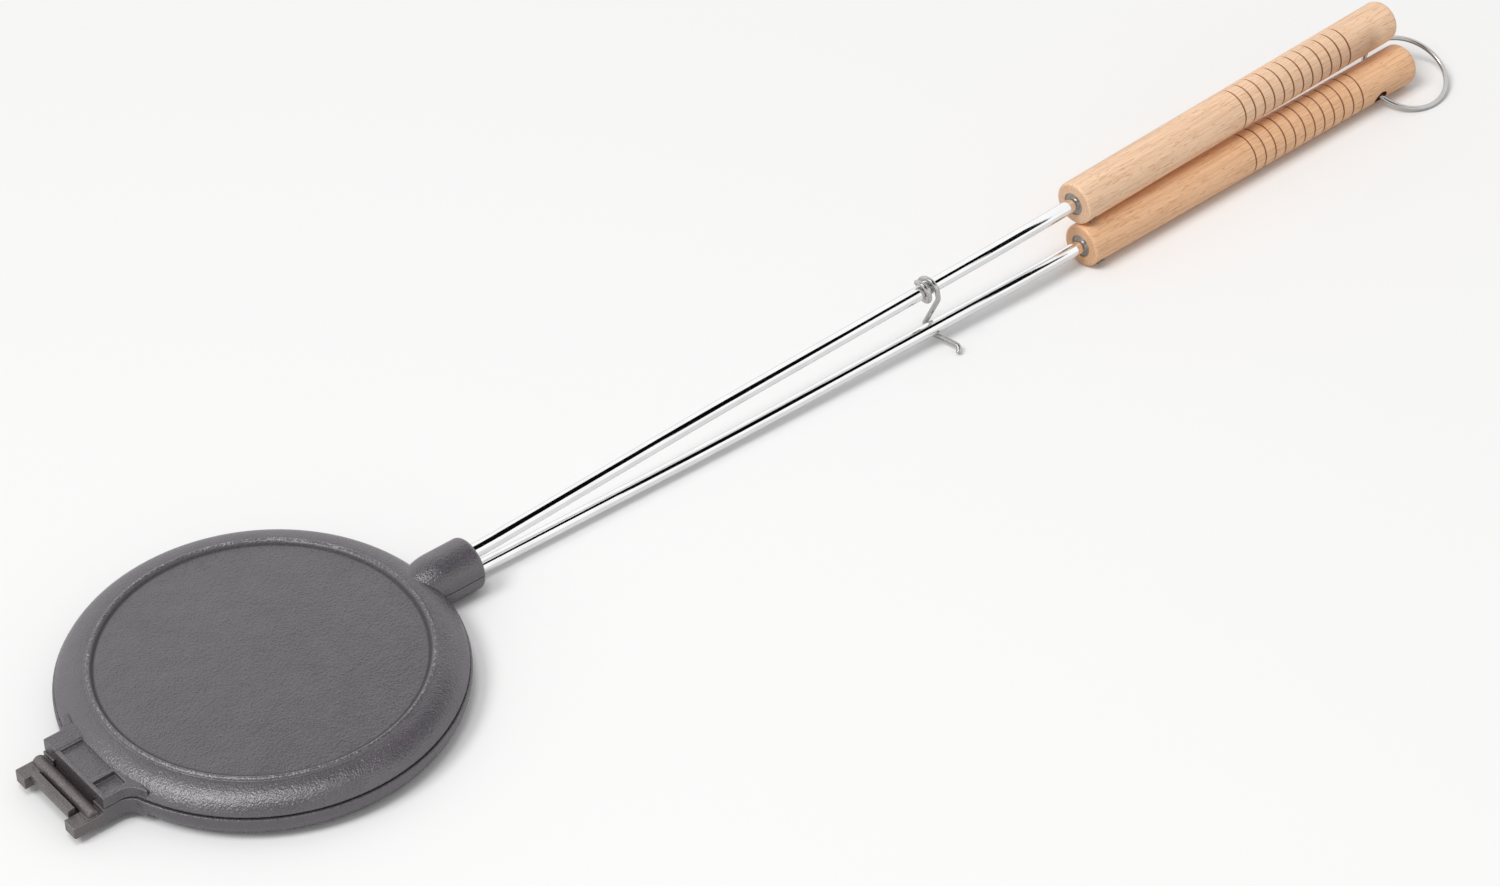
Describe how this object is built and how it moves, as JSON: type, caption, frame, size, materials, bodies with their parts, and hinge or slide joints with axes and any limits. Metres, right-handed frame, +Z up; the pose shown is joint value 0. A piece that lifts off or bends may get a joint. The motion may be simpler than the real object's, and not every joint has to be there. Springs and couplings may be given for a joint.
{
  "type": "long-handled waffle iron",
  "caption": "Long-handled round cast iron waffle iron for a fire or stove: hook-hinged halves, two steel rods with ribbed wooden grips, a wire latch and a hanging ring.",
  "frame": {"origin": "centre of the round head's flat lower face, on the floor it rests on", "axes": "+X from the head to the handles, +Z up through the closed head, +Y to the side with the rising end of the ring hole"},
  "size_m": [0.7672, 0.165, 0.0398],
  "materials": {
    "lower_casting": "satin, fine sand-cast grain",
    "upper_casting": "satin, fine sand-cast grain",
    "rod_steel": "bright plated",
    "lower_grip_wood": "smooth turned beech with dark burnt grooves",
    "upper_grip_wood": "smooth turned beech with dark burnt grooves",
    "bush_steel": "satin",
    "pin_steel": "satin",
    "wire": "drawn wire"
  },
  "bodies": {
    "base": {"lower_half": "lower_casting", "lower_rod": "rod_steel", "lower_grip": "lower_grip_wood", "lower_grip_bush": "bush_steel", "lower_grip_pin": "pin_steel"},
    "lid": {"upper_half": "upper_casting", "upper_rod": "rod_steel", "upper_grip": "upper_grip_wood", "upper_grip_bush": "bush_steel", "upper_grip_pin": "pin_steel"},
    "latch": {"latch": "wire"},
    "ring": {"hang_ring": "wire"}
  },
  "joints": [
    {"name": "lid_hinge", "type": "hinge", "parent": "base", "child": "lid", "pos_m": [-0.0942, -0.0033, 0.00975], "axis": [0, -1, 0], "range_deg": [0, 100]},
    {"name": "latch_swing", "type": "hinge", "parent": "lid", "child": "latch", "pos_m": [0.3466, -0.00038, 0.02728], "axis": [0.9991, -0.0032, 0.0418], "range_deg": [0, 170]},
    {"name": "ring_swing", "type": "hinge", "parent": "base", "child": "ring", "pos_m": [0.62372, 0.00036, 0.0101], "axis": [0.2582, 0.9004, 0.3502], "range_deg": [-8, 150]}
  ]
}
